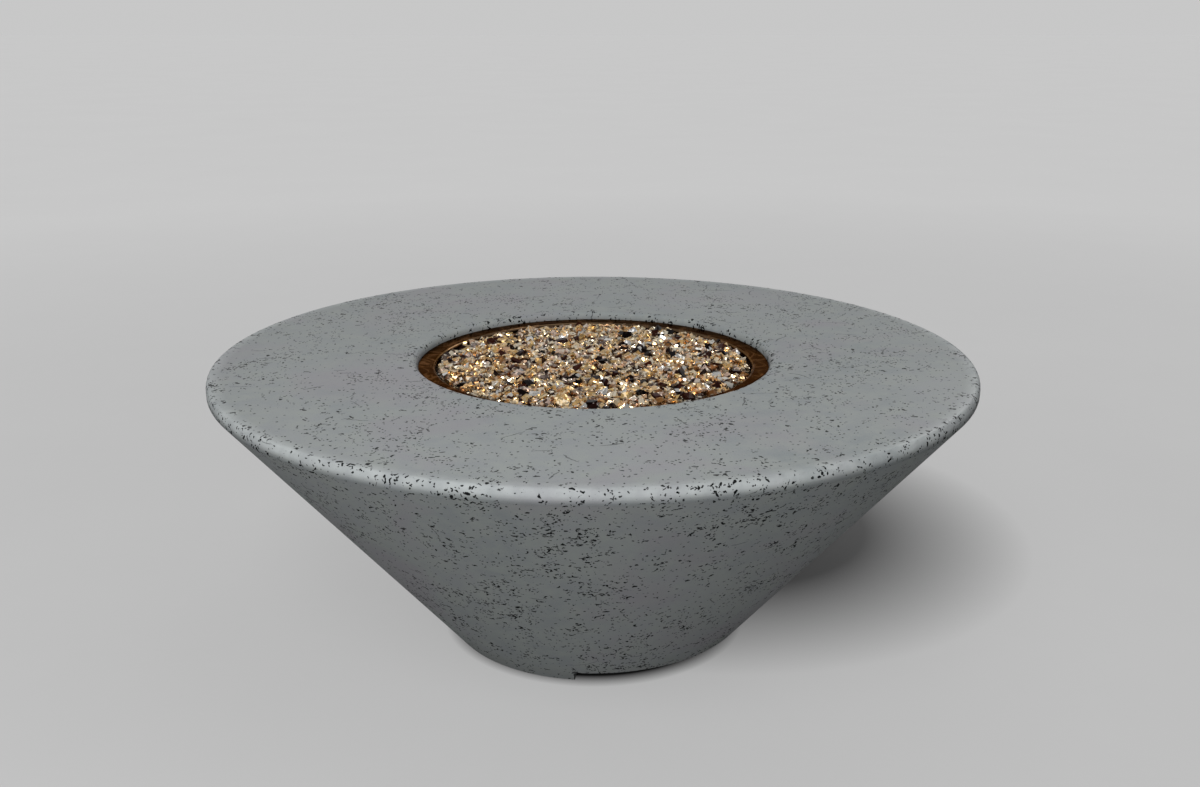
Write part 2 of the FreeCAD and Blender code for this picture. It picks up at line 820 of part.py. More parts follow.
def valve_end_cap():
    """The outlet half of the valve, screwed in to hold the ball between its seats."""
    body = hex_prism("valve_end_cap", "valve_flats", "barrel_outlet", "outlet_end")
    spigot = new_sketch(body, "cap_spigot")
    outline(spigot, [
        (0, "chamber_half"),
        ("cap_thread - thread_fit", "chamber_half"),
        ("cap_thread - thread_fit", "barrel_outlet"),
        (0, "barrel_outlet"),
    ])
    turn_round(body, spigot)
    cut_round(body, "cap_passage", [
        (0, "chamber_half"),
        ("seat_radius", "chamber_half"),
        ("seat_radius", "seat_back"),
        ("ball_bore", "seat_back"),
        ("ball_bore", "outlet_end - socket_depth"),
        (SOCKET, "outlet_end - socket_depth"),
        (SOCKET, "outlet_end"),
        (0, "outlet_end"),
    ])
    body.Placement = flow_frame()
    return body


def valve_seats():
    """Two rings of low-friction plastic, each cupped to the ball."""
    seat = turned("valve_seat", [
        ("ball_bore", "seat_front"),
        ("seat_radius", "seat_front"),
        ("seat_radius", "seat_back"),
        ("ball_bore", "seat_back"),
    ])
    cup = new_sketch(seat, "seat_cup")
    half_circle(cup, "ball_radius + running_fit")
    turn_round(seat, cup, cut=True)
    return group("valve_seats", seat, [flow_frame(), flow_frame(-1)])


def half_circle(sketch, radius):
    """A half disc on the sketch's upright axis, centred on its origin."""
    reach = number(radius)
    round_edge = Part.Circle(Vector(), Vector(0, 0, 1), reach)
    arc = sketch.addGeometry(Part.ArcOfCircle(round_edge, -math.pi / 2, math.pi / 2), False)
    chord = sketch.addGeometry(Part.LineSegment(Vector(0, reach, 0), Vector(0, -reach, 0)), False)
    sketch.addConstraint([
        Sketcher.Constraint("Coincident", arc, 3, -1, 1),
        Sketcher.Constraint("Coincident", arc, 2, chord, 1),
        Sketcher.Constraint("Coincident", arc, 1, chord, 2),
        Sketcher.Constraint("PointOnObject", chord, 1, -2),
        Sketcher.Constraint("PointOnObject", chord, 2, -2),
    ])
    size = sketch.addConstraint(Sketcher.Constraint("Radius", arc, reach))
    sketch.setExpression(f"Constraints[{size}]", bound(radius))


def valve_ball():
    """The ball, shut at rest: its bore stands across the flow and its slot takes the stem's tang."""
    body = new_body("valve_ball")
    disc = new_sketch(body, "ball_disc")
    half_circle(disc, "ball_radius")
    turn_round(body, disc)
    bore = new_sketch(body, "ball_bore_circle")
    circle(bore, 0, 0, "ball_bore")
    extrude(body, bore, cut=True, both=True)
    slot = new_sketch(body, "ball_slot", "XZ_Plane")
    side = "(tang_width / 2 + running_fit)"
    rectangle(slot, f"0 - {side}", side, "tang_start - running_fit", "ball_radius + 1")
    extrude(body, slot, cut=True, both=True)
    body.Placement = stem_frame()
    return body


def stem_frame():
    """Origin at the ball's centre, Z out along the stem."""
    centre = Placement(Vector(0, 0, -number("valve_setback")), Rotation())
    return valve_frame().multiply(centre)


def valve_stem():
    """Tang, blow-out collar, round shank and square drive, all in one turned and milled piece."""
    body = turned("valve_stem", [
        (0, "tang_start"),
        ("tang_radius", "tang_start"),
        ("tang_radius", "stem_collar_start"),
        ("stem_collar_radius", "stem_collar_start"),
        ("stem_collar_radius", "stem_shoulder - running_fit"),
        ("stem_radius", "stem_shoulder - running_fit"),
        ("stem_radius", "stem_top - edge_chamfer"),
        ("stem_radius - edge_chamfer", "stem_top"),
        (0, "stem_top"),
    ])
    wide = "(2 * stem_collar_radius)"
    tang = new_sketch(body, "tang_flats", "XY_Plane", out="tang_start")
    rectangle(tang, "tang_width / 2", wide, f"0 - {wide}", wide)
    rectangle(tang, f"0 - {wide}", "0 - tang_width / 2", f"0 - {wide}", wide)
    extrude(body, tang, "stem_collar_start - tang_start", cut=True, reverse=True)
    square = new_sketch(body, "square_flats", "XY_Plane", out="square_start")
    rectangle(square, f"0 - {wide}", wide, f"0 - {wide}", wide)
    flat = "(stem_square / 2)"
    rectangle(square, f"0 - {flat}", flat, f"0 - {flat}", flat)
    extrude(body, square, "stem_top - square_start", cut=True, reverse=True)
    body.Placement = stem_frame()
    return body


def ring_on_stem(label, low, high):
    """A ring that fills the packing space round the stem between two heights."""
    bore = "(stem_radius + running_fit)"
    outside = "(packing_radius - thread_fit)"
    body = turned(label, [(bore, low), (outside, low), (outside, high), (bore, high)])
    body.Placement = stem_frame()
    return body


def stem_packing():
    return ring_on_stem("stem_packing", "packing_start", "packing_start + packing_height")


def packing_nut():
    low = "(packing_start + packing_height)"
    body = ring_on_stem("packing_nut", low, f"{low} + gland_height")
    slot = new_sketch(body, "gland_slot_outline", "XZ_Plane")
    half = "(gland_slot / 2)"
    rectangle(slot, f"0 - {half}", half, f"{low} + gland_height / 2", f"{low} + gland_height + 1")
    extrude(body, slot, cut=True, both=True)
    return body


# What clamps the valve in the wall

def wall_sleeve():
    """The threaded tube through the wall that carries the cover ring and guides the key."""
    low = "(sleeve_start - valve_setback)"
    body = turned("wall_sleeve", [
        ("sleeve_bore", low),
        *chamfered(low, "sleeve_stand", "sleeve_radius"),
        ("sleeve_bore", "sleeve_stand"),
    ])
    body.Placement = valve_frame()
    return body


def sleeve_washer():
    high = "(nut_seat_depth - wall)"
    low = f"({high} - washer_thickness)"
    bore = "(sleeve_radius + thread_fit)"
    body = turned("sleeve_washer", [
        (bore, low), ("sleeve_washer_radius", low), ("sleeve_washer_radius", high), (bore, high),
    ])
    body.Placement = valve_frame()
    return body


def sleeve_locknut():
    high = "(nut_seat_depth - wall - washer_thickness)"
    low = f"({high} - sleeve_nut_height)"
    bore = "(sleeve_radius + thread_fit)"
    body = hex_prism("sleeve_locknut", "locknut_flats", low, high)
    cut_round(body, "sleeve_locknut_bore", [(0, low), (bore, low), (bore, high), (0, high)])
    body.Placement = valve_frame()
    return body


def valve_cover_ring():
    """The round trim ring that covers the hole and seats in a shallow recess of the wall."""
    seat = "(0 - cover_recess)"
    bore = "(sleeve_radius + thread_fit)"
    top = f"({seat} + cover_thickness)"
    body = turned("valve_cover_ring", [
        (bore, seat),
        ("cover_radius", seat),
        ("cover_radius", f"{seat} + cover_rim"),
        ("cover_land", top, "cover_rim"),
        (bore, top),
    ])
    body.Placement = valve_frame()
    return body


# Valve key

def key_shaft():
    """The key's shaft, with a square socket at its lower end and a cross hole through its head."""
    low = "(key_socket_start - valve_setback)"
    socket_end = f"({low} + key_socket_length)"
    head = "(key_reach - key_head_height)"
    body = turned("key_shaft", [
        (0, low),
        ("key_socket_radius - edge_chamfer", low),
        ("key_socket_radius", f"{low} + edge_chamfer"),
        ("key_socket_radius", socket_end),
        ("key_shaft_radius", f"{socket_end} + key_socket_radius - key_shaft_radius"),
        ("key_shaft_radius", f"{head} - key_head_radius + key_shaft_radius"),
        ("key_head_radius", head),
        ("key_head_radius", "key_reach", "key_head_radius / 3"),
        (0, "key_reach"),
    ])
    square = new_sketch(body, "key_square", "XY_Plane", out=low)
    half = "(stem_square / 2 + key_fit)"
    rectangle(square, f"0 - {half}", half, f"0 - {half}", half)
    extrude(body, square, "key_socket_depth", cut=True, reverse=True)
    hole = new_sketch(body, "key_cross_hole", "YZ_Plane")
    circle(hole, 0, "key_reach - key_head_height / 2", "key_bar_radius")
    extrude(body, hole, cut=True, both=True)
    body.Placement = valve_frame()
    return body


def key_bar():
    """The bar through the key's head that a hand turns, pressed in and rounded at both ends."""
    half = "(key_bar_length / 2)"
    body = turned("key_bar", [
        (0, f"0 - {half}"),
        ("key_bar_radius", f"0 - {half}", "key_bar_radius / 2"),
        ("key_bar_radius", half, "key_bar_radius / 2"),
        (0, half),
    ])
    across = Placement(
        Vector(0, 0, number("key_reach - key_head_height / 2")), Rotation(Vector(0, 1, 0), 90))
    body.Placement = valve_frame().multiply(across)
    return body


# Fire glass

def fire_glass_bed():
    """The body of glass in the pan: it lies on the floor and closes round the burner's tubes."""
    outside = "(well_radius - glass_gap)"
    body = turned("fire_glass_bed", [
        (0, PAN_FLOOR),
        (f"{outside} - floor_bend", PAN_FLOOR),
        (outside, f"{PAN_FLOOR} + floor_bend"),
        (outside, GLASS_TOP),
        (0, GLASS_TOP),
    ])
    side = "(arm_radius + glass_clearance)"
    tunnel = new_sketch(body, "arm_tunnel", "YZ_Plane")
    rectangle(tunnel, f"0 - {side}", side, PAN_FLOOR, f"{BURNER_CENTRE} + {side}")
    space = extrude(body, tunnel, "arm_reach + glass_clearance", cut=True, reverse=True)
    repeat_round(body, space, "arm_count")
    hollow = "(washer_radius + glass_clearance)"
    cut_round(body, "hub_hollow", [
        (0, PAN_FLOOR),
        (hollow, PAN_FLOOR),
        (hollow, f"{HUB_TOP} + glass_clearance"),
        (0, f"{HUB_TOP} + glass_clearance"),
    ])
    return body


def glass_piece(low, high):
    """One broken piece on four lower corners, with a slanting ridge between two upper ones."""
    sides = [
        (low[0], low[1], high[0]),
        (low[1], high[1], high[0]),
        (low[1], low[2], high[1]),
        (low[2], low[3], high[1]),
        (low[3], high[0], high[1]),
        (low[3], low[0], high[0]),
        (low[3], low[2], low[1], low[0]),
    ]
    faces = [Part.Face(Part.makePolygon([*side, side[0]])) for side in sides]
    solid = Part.Solid(Part.Shell(faces))
    if solid.Volume < 0:
        solid.reverse()
    return solid


def glass_pieces():
    """The loose top layer: rings of irregular pieces lying side by side, in three kinds of glass."""
    chance = random.Random(7)
    kinds = {"clear_glass_pieces": [], "bronze_glass_pieces": [], "black_glass_pieces": []}
    rings = int(number("piece_rings"))
    pitch = number("well_radius - glass_gap - glass_clearance") / rings
    floor = number(GLASS_TOP)

    def spot(away, angle, height):
        return Vector(away * math.cos(angle), away * math.sin(angle), height)

    for ring in range(rings):
        count = round(2 * math.pi * (ring + 0.5))
        step = 2 * math.pi / count
        turn = chance.uniform(0, step)
        for k in range(count):
            begin = turn + k * step
            low = [
                spot((ring + across + chance.uniform(0, 0.12)) * pitch,
                     begin + (along + chance.uniform(0, 0.12)) * step, floor)
                for across, along in ((0.08, 0.04), (0.8, 0.04), (0.8, 0.84), (0.08, 0.84))
            ]
            tall = number("piece_height") * chance.uniform(0.45, 0.85)
            high = [
                spot((ring + across + chance.uniform(-0.1, 0.1)) * pitch,
                     begin + chance.uniform(0.3, 0.7) * step, floor + tall + chance.uniform(0, 2))
                for across in (0.3, 0.65)
            ]
            label = chance.choices(list(kinds), (5, 3, 2))[0]
            kinds[label].append(glass_piece(low, high))
    for label, pieces in kinds.items():
        solid_node(label, Part.makeCompound(pieces))


# The whole table

def check_and_write():
    """Stops on any failed object or empty sub-part, then writes one file for each sub-part."""
    doc.recompute()
    failed = [item.Name for item in doc.Objects if {"Invalid", "Error"} & set(item.State)]
    if failed:
        raise RuntimeError(f"objects failed: {failed}")
    loose = [item.Name for item in doc.Objects
             if item.TypeId == "Sketcher::SketchObject" and not item.FullyConstrained]
    if loose:
        raise RuntimeError(f"sketches not fully constrained: {loose}")
    for item in subparts:
        if item.Shape.isNull() or not item.Shape.isValid() or not item.Shape.Solids:
            raise RuntimeError(f"{item.Label} has no valid shape")
    os.makedirs("parts", exist_ok=True)
    for item in subparts:
        item.Shape.exportStep(f"parts/{item.Label}.step")
    print(f"{len(subparts)} sub-parts written")


concrete_shell()
pan_gasket()
burner_pan()
star_burner()
hub_nipple()
hub_washers()
hub_locknuts()
air_mixer()
mixer_jet()
flare_adapter("hub_adapter", hub_adapter_frame())
flare_adapter("outlet_adapter", outlet_adapter_frame())
flare_adapter("gas_inlet_adapter", inlet_adapter_frame())
hose_flare_nuts()
gas_hose()
valve_body()
valve_end_cap()
valve_seats()
valve_ball()
valve_stem()
stem_packing()
packing_nut()
wall_sleeve()
sleeve_washer()
sleeve_locknut()
valve_cover_ring()
key_shaft()
key_bar()
fire_glass_bed()
glass_pieces()
check_and_write()
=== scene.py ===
"""Looks of the round fire pit table: materials for its solids, loose fire glass, floor, lamps and camera."""
import json
import math

import bmesh
import bpy
import numpy as np
from mathutils import Matrix, Vector


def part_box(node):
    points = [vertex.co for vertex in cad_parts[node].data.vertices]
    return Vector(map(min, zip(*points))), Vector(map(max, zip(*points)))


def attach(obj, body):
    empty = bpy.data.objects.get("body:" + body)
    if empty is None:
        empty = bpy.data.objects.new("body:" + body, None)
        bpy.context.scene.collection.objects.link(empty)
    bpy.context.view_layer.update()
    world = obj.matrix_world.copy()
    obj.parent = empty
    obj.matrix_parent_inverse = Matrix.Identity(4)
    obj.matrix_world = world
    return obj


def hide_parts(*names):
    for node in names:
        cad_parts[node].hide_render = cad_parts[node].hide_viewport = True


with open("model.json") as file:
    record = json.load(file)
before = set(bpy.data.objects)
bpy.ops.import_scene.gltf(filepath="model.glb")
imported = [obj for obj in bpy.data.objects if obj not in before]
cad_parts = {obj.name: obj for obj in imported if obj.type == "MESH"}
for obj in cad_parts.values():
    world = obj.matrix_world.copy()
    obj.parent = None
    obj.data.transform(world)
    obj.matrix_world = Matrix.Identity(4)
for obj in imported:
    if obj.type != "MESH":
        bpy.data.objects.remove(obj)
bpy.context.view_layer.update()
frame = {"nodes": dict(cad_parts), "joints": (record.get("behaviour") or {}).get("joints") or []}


# Places on the table in metres, worked out from the frame

def reach_of(node):
    """How far a solid reaches from the table's axis."""
    return round(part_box(node)[1].x, 5)


def top_of(node):
    return round(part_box(node)[1].z, 5)


RIM_RADIUS = reach_of("concrete_shell")
TABLE_TOP = top_of("concrete_shell")
RIM_INSIDE = RIM_RADIUS - 0.0246
RIM_FOOT = TABLE_TOP - 0.0190
RIM_SHOULDER = TABLE_TOP - 0.0035
BASE_RADIUS = 0.238
OPENING_EDGE = reach_of("burner_pan") + 0.00675
FLANGE_BEND = reach_of("fire_glass_bed") + 0.0020
WELL_GRIME = (top_of("burner_pan") - 0.093, top_of("burner_pan") - 0.013)
GLASS_RADIUS = reach_of("fire_glass_bed") - 0.0007
GLASS_LEVEL = top_of("fire_glass_bed") + 0.0092
GLASS_RISE = 0.0058
GLASS_TOP = TABLE_TOP - 0.0040

# Camera, from the pinhole fit of the photograph's outline

CAMERA_PLACE = (0.0105, -2.06886, 1.03437)
CAMERA_TILT = math.radians(72.884)
SENSOR_WIDTH = 36.0
LENS = 39.41


def make_camera():
    data = bpy.data.cameras.new("camera")
    data.sensor_width = SENSOR_WIDTH
    data.lens = LENS
    data.clip_start = 0.02
    camera = bpy.data.objects.new("camera", data)
    camera.location = CAMERA_PLACE
    camera.rotation_euler = (CAMERA_TILT, 0.0, 0.0)
    bpy.context.scene.collection.objects.link(camera)
    bpy.context.scene.camera = camera


# Shader building

WHITE = (1.0, 1.0, 1.0, 1.0)
HALF_GREY = (0.5, 0.5, 0.5)


def colour(red, green, blue):
    """An sRGB colour of 0 to 255 as the linear colour that a shader takes."""
    def linear(value):
        value /= 255.0
        return value / 12.92 if value <= 0.04045 else ((value + 0.055) / 1.055) ** 2.4
    return (linear(red), linear(green), linear(blue), 1.0)


class Nodes:
    """A node tree, with short calls that add a node and return its output."""

    def __init__(self, tree):
        self.tree = tree

    def put(self, socket, value):
        if isinstance(value, bpy.types.NodeSocket):
            self.tree.links.new(value, socket)
        else:
            socket.default_value = value

    def add(self, kind, inputs=(), **settings):
        """Adds a node with its settings, and sets or links its inputs, given in order or by name."""
        node = self.tree.nodes.new(kind)
        for key, value in settings.items():
            setattr(node, key, value)
        named = inputs if isinstance(inputs, dict) else dict(enumerate(inputs))
        for key, value in named.items():
            self.put(node.inputs[key], value)
        return node

    def math(self, operation, *values):
        return self.add("ShaderNodeMath", values, operation=operation).outputs[0]

    def chain(self, operation, values):
        """The values joined one after another by the same operation."""
        total = values[0]
        for value in values[1:]:
            total = self.math(operation, total, value)
        return total

    def times(self, *values):
        return self.chain("MULTIPLY", values)

    def plus(self, *values):
        return self.chain("ADD", values)

    def minus(self, first, second):
        return self.math("SUBTRACT", first, second)

    def highest(self, *values):
        return self.chain("MAXIMUM", values)

    def over(self, value, limit):
        """1 where the value is over the limit, and 0 elsewhere."""
        return self.math("GREATER_THAN", value, limit)

    def distance(self, value, middle):
        """How far the value is from the middle, on either side."""
        return self.math("ABSOLUTE", self.minus(value, middle))

    def vector(self, operation, *values):
        node = self.add("ShaderNodeVectorMath", values, operation=operation)
        number = operation in ("DOT_PRODUCT", "LENGTH", "DISTANCE")
        return node.outputs["Value" if number else "Vector"]

    def scaled(self, vector, factor):
        return self.add("ShaderNodeVectorMath", {0: vector, "Scale": factor}, operation="SCALE").outputs[0]

    def parts(self, vector):
        return self.add("ShaderNodeSeparateXYZ", [vector]).outputs

    def joined(self, x, y, z):
        return self.add("ShaderNodeCombineXYZ", (x, y, z)).outputs[0]

    def noise(self, vector, scale, detail=3.0, roughness=0.5, distortion=0.0, output="Fac"):
        inputs = {"Vector": vector, "Scale": scale, "Detail": detail, "Roughness": roughness,
                  "Distortion": distortion}
        return self.add("ShaderNodeTexNoise", inputs).outputs[output]

    def cells(self, vector, scale=1.0, feature="F1"):
        return self.add("ShaderNodeTexVoronoi", {"Vector": vector, "Scale": scale}, feature=feature).outputs

    def random(self, vector):
        """Three random numbers from 0 to 1, always the same for one vector."""
        node = self.add("ShaderNodeTexWhiteNoise", {"Vector": vector}, noise_dimensions="3D")
        return self.parts(node.outputs["Color"])

    def between(self, value, low, high, to_low=0.0, to_high=1.0, smooth=False):
        """Maps low..high to to_low..to_high, held at the ends."""
        return self.add("ShaderNodeMapRange", (value, low, high, to_low, to_high),
                        interpolation_type="SMOOTHSTEP" if smooth else "LINEAR").outputs[0]

    def mix(self, factor, first, second, kind="RGBA"):
        inputs = {"Factor": factor, "A": first, "B": second}
        return self.add("ShaderNodeMix", inputs, data_type=kind).outputs["Result"]

    def ramp(self, value, stops):
        node = self.add("ShaderNodeValToRGB", [value])
        elements = node.color_ramp.elements
        while len(elements) < len(stops):
            elements.new(0.5)
        for element, (place, tone) in zip(elements, stops):
            element.position = place
            element.color = tone
        return node.outputs[0]

    def bump(self, height, distance, strength=0.8, normal=None):
        inputs = {"Height": height, "Distance": distance, "Strength": strength}
        if normal is not None:
            inputs["Normal"] = normal
        return self.add("ShaderNodeBump", inputs).outputs[0]

    def normal(self):
        return self.add("ShaderNodeNewGeometry").outputs["Normal"]

    def seen(self):
        """1 where the camera looks straight, through glass or in gloss, and 0 for light on the table."""
        path = self.add("ShaderNodeLightPath").outputs
        return self.highest(path["Is Camera Ray"], path["Is Transmission Ray"], path["Is Glossy Ray"])


class Shader(Nodes):
    """A material's nodes and its surface."""

    def __init__(self, name):
        self.material = bpy.data.materials.new(name)
        self.material.use_nodes = True
        super().__init__(self.material.node_tree)
        self.surface = self.tree.nodes["Principled BSDF"]
        self.where = self.add("ShaderNodeTexCoord").outputs["Object"]

    def set(self, **values):
        """Sets or links the surface's sockets, named with underscores for spaces."""
        for key, value in values.items():
            self.put(self.surface.inputs[key.replace("_", " ")], value)

    def axis_distance(self):
        x, y, _ = self.parts(self.where)
        return self.vector("LENGTH", self.joined(x, y, 0.0))


# Concrete

# Radians by which the normal leans below level on the cone, and above it at the rim's shoulder
CONE_LEAN = 0.695
SHOULDER_RISE = 0.60
# A fibre's soft edge, from 1 at its half length and half width, and how deep in cells it still shows
FIBRE_EDGE = (0.90, 1.14)
FIBRE_DEPTH = 0.32
# Fibres whose random number is over the first value turn by the second, in radians
CROSSED_ABOVE = 0.72
CROSSED_TURN = 1.1


def fibre_layer(shader, where, axes, cell, reach, width, spread, bend, share, seed):
    """Short dark fibres, one to a cell of a cell pattern, laid flat in the surface.

    cell is a cell's size in metres. reach and width are the least and greatest half length and half
    width in cells. spread is how far the fibres turn from level, bend is how far they curve, and
    share is the part of the cells that hold one.
    """
    level, upward, outward, swell = axes
    spot = shader.vector("ADD", shader.scaled(where, 1.0 / cell), (seed, 2.3 * seed, -1.7 * seed))
    found = shader.cells(spot)
    offset = shader.vector("SUBTRACT", spot, found["Position"])
    turning, curving, length = shader.parts(found["Color"])
    chance, crossing, girth = shader.random(found["Color"])
    turn = shader.plus(shader.times(shader.minus(turning, 0.5), spread),
                       shader.times(shader.over(crossing, CROSSED_ABOVE), CROSSED_TURN))
    cosine, sine = shader.math("COSINE", turn), shader.math("SINE", turn)
    across = shader.vector("DOT_PRODUCT", offset, level)
    along = shader.vector("DOT_PRODUCT", offset, upward)
    depth = shader.math("ABSOLUTE", shader.vector("DOT_PRODUCT", offset, outward))
    u = shader.plus(shader.times(across, cosine), shader.times(along, sine))
    v = shader.minus(shader.times(along, cosine), shader.times(across, sine))
    curl = shader.times(shader.minus(curving, 0.5), bend)
    v = shader.plus(v, shader.times(curl, shader.times(u, u)))
    half = shader.between(shader.times(length, length), 0.0, 1.0, *reach)
    thick = shader.times(shader.between(girth, 0.0, 1.0, *width), swell)
    far = shader.plus(shader.math("POWER", shader.math("ABSOLUTE", shader.math("DIVIDE", u, half)), 3.0),
                      shader.math("POWER", shader.math("ABSOLUTE", shader.math("DIVIDE", v, thick)), 2.0))
    mark = shader.between(far, *FIBRE_EDGE, 1.0, 0.0, smooth=True)
    here = shader.math("LESS_THAN", chance, share)
    near = shader.math("LESS_THAN", depth, FIBRE_DEPTH)
    return shader.times(mark, shader.times(here, near))


def concrete_marks(shader, outward, flat, edges):
    """Fibres and specks, crowded in clusters, in strings and along the edges, bolder on the cone."""
    where = shader.where
    x, y, z = shader.parts(where)
    aside = shader.vector("ADD", outward, (0.0004, 0.0007, 0.0))
    level = shader.vector("NORMALIZE", shader.vector("CROSS_PRODUCT", (0.0, 0.0, 1.0), aside))
    upward = shader.vector("CROSS_PRODUCT", outward, level)
    axes = (level, upward, outward, shader.between(flat, 0.0, 1.0, 1.16, 1.34))

    cluster = shader.between(shader.noise(where, 12.0, 3.0, 0.6), 0.43, 0.60, 0.08, 1.0)
    crowd = shader.between(shader.noise(where, 42.0, 2.0), 0.45, 0.58, 0.05, 1.0)
    strings = shader.noise(shader.joined(x, y, shader.times(z, 1.9)), 15.0, 2.0)
    string = shader.between(shader.distance(strings, 0.5), 0.010, 0.030, 0.8, 0.0)
    share = shader.times(cluster, shader.highest(crowd, string))
    share = shader.highest(share, shader.times(edges, shader.times(crowd, 0.75)))
    bolder = shader.between(shader.minus(flat, edges), 0.0, 1.0, 1.0, 0.24)
    wobble = shader.noise(where, 150.0, 2.0, output="Color")
    wobble = shader.scaled(shader.vector("SUBTRACT", wobble, HALF_GREY), 0.0055)
    bent = shader.vector("ADD", where, wobble)

    bold = dict(cell=0.0126, reach=(0.18, 0.52), width=(0.074, 0.155), spread=2.1, bend=2.8,
                share=shader.times(share, bolder), seed=3.1)
    crossed = dict(cell=0.0116, reach=(0.14, 0.50), width=(0.060, 0.130), spread=3.1, bend=3.4,
                   share=shader.times(share, share, bolder), seed=17.3)
    smaller = dict(cell=0.0086, reach=(0.14, 0.48), width=(0.075, 0.150), spread=2.6, bend=3.2,
                   share=shader.times(share, shader.between(bolder, 0.0, 1.0, 0.28, 1.0)), seed=7.7)
    fine_share = shader.plus(shader.times(share, 0.60), shader.between(flat, 0.0, 1.0, 0.17, 0.09))
    fine = dict(cell=0.0057, reach=(0.16, 0.45), width=(0.10, 0.20), spread=3.1, bend=2.5,
                share=fine_share, seed=5.3)
    hairs = dict(cell=0.052, reach=(0.18, 0.48), width=(0.010, 0.017), spread=3.1, bend=1.6,
                 share=0.35, seed=11.9)
    specks = shader.cells(where, 420.0)
    speck = shader.times(shader.between(specks["Distance"], 0.10, 0.24, 1.0, 0.0),
                         shader.over(shader.parts(specks["Color"])[0], 0.82))
    marks = shader.times(speck, 0.50)
    for strength, layer in ((1.0, bold), (1.0, crossed), (1.0, smaller), (0.92, fine), (0.60, hairs)):
        marks = shader.highest(marks, shader.times(fibre_layer(shader, bent, axes, **layer), strength))
    return marks


def concrete_tone(shader, rim, past_rim, marks, mottle, grain):
    """Grey clouds with a violet tint in places, a paler upper rim that is partly wear and partly a painted
    highlight, a painted shade line under it, and painted shade with some dirt low on the base.
    """
    where = shader.where
    z = shader.parts(where)[2]
    clouds = shader.noise(where, 3.4, 5.0, 0.6)
    tint = shader.noise(where, 5.5, 3.0, 0.55, 0.5)
    tone = shader.mix(shader.between(clouds, 0.3, 0.7), colour(138, 146, 148), colour(156, 159, 162))
    tone = shader.mix(shader.between(mottle, 0.35, 0.65), tone, colour(158, 163, 161))
    tone = shader.mix(shader.between(tint, 0.50, 0.68, 0.0, 0.6), tone, colour(154, 150, 157))
    tone = shader.mix(shader.between(grain, 0.35, 0.75, 0.0, 0.22), tone, colour(188, 190, 187))
    # The upper rim is painted paler: partly wear, partly a painted highlight on its rounded edge.
    upper_rim = shader.times(rim, shader.between(z, RIM_FOOT + 0.004, RIM_FOOT + 0.010))
    wear_and_highlight = shader.times(upper_rim, shader.between(mottle, 0.4, 0.7, 0.35, 0.75))
    tone = shader.mix(wear_and_highlight, tone, colour(198, 203, 204))
    # A painted shade line along the rim's foot, where the band turns into the cone.
    shade = shader.between(shader.distance(z, RIM_FOOT), 0.0, 0.0055, 0.42, 0.0)
    tone = shader.mix(shader.times(shade, past_rim), tone, colour(104, 110, 112))
    # Darker towards the floor: painted shade low on the base, with some dirt.
    low_shade_and_dirt = shader.times(shader.between(z, 0.0, 0.06, 0.5, 0.0), shader.between(mottle, 0.3, 0.7))
    tone = shader.mix(low_shade_and_dirt, tone, colour(128, 129, 128))
    return shader.mix(shader.times(marks, 0.98), tone, colour(5, 5, 6))


def eased_normal(shader, outward, past_rim):
    """The surface's normal, which turns softly from the cone to the rim as the casting's edge, rubbed soft,
    does.
    """
    x, y, z = shader.parts(shader.where)
    around = shader.vector("NORMALIZE", shader.joined(x, y, 0.0))
    lean = shader.between(z, RIM_FOOT - 0.005, RIM_SHOULDER, CONE_LEAN, -SHOULDER_RISE)
    turned = shader.vector("SUBTRACT", shader.scaled(around, shader.math("COSINE", lean)),
                           shader.joined(0.0, 0.0, shader.math("SINE", lean)))
    near_foot = shader.times(shader.over(z, RIM_FOOT - 0.006),
                             shader.between(z, RIM_SHOULDER - 0.0015, RIM_SHOULDER, 1.0, 0.0), past_rim)
    return shader.mix(near_foot, outward, turned, kind="VECTOR")


def concrete():
    shader = Shader("concrete")
    where = shader.where
    z = shader.parts(where)[2]
    radius = shader.axis_distance()
    outward = shader.normal()
    flat = shader.between(shader.parts(outward)[2], 0.75, 0.97)
    opening = shader.between(shader.distance(radius, OPENING_EDGE), 0.004, 0.018, 1.0, 0.0)
    rim = shader.times(shader.between(radius, RIM_INSIDE, RIM_RADIUS - 0.0026),
                       shader.between(z, TABLE_TOP - 0.045, TABLE_TOP - 0.025))
    past_rim = shader.over(radius, RIM_INSIDE)
    marks = concrete_marks(shader, outward, flat, shader.highest(opening, rim))
    mottle = shader.noise(where, 24.0, 5.0, 0.62)
    grain = shader.noise(where, 900.0, 2.0, 0.6)

    pits = shader.cells(where, 210.0)
    pit = shader.times(shader.between(pits["Distance"], 0.05, 0.2, 1.0, 0.0),
                       shader.over(shader.parts(pits["Color"])[1], 0.90))
    height = shader.plus(shader.times(mottle, 0.9), shader.times(grain, 0.10))
    height = shader.minus(height, shader.times(pit, 0.35))
    height = shader.plus(height, shader.times(marks, 0.10))
    rough = shader.between(shader.plus(mottle, shader.times(grain, 0.3)), 0.4, 0.9, 0.34, 0.50)
    rough = shader.plus(rough, shader.between(flat, 0.0, 1.0, 0.32, 0.0))
    shader.set(Base_Color=concrete_tone(shader, rim, past_rim, marks, mottle, grain),
               Roughness=rough, Specular_IOR_Level=0.07,
               Coat_Weight=shader.times(flat, 0.08), Coat_Roughness=0.12,
               Normal=shader.bump(height, 0.0009, normal=eased_normal(shader, outward, past_rim)))
    return shader.material


# Metals, fibre and plastic

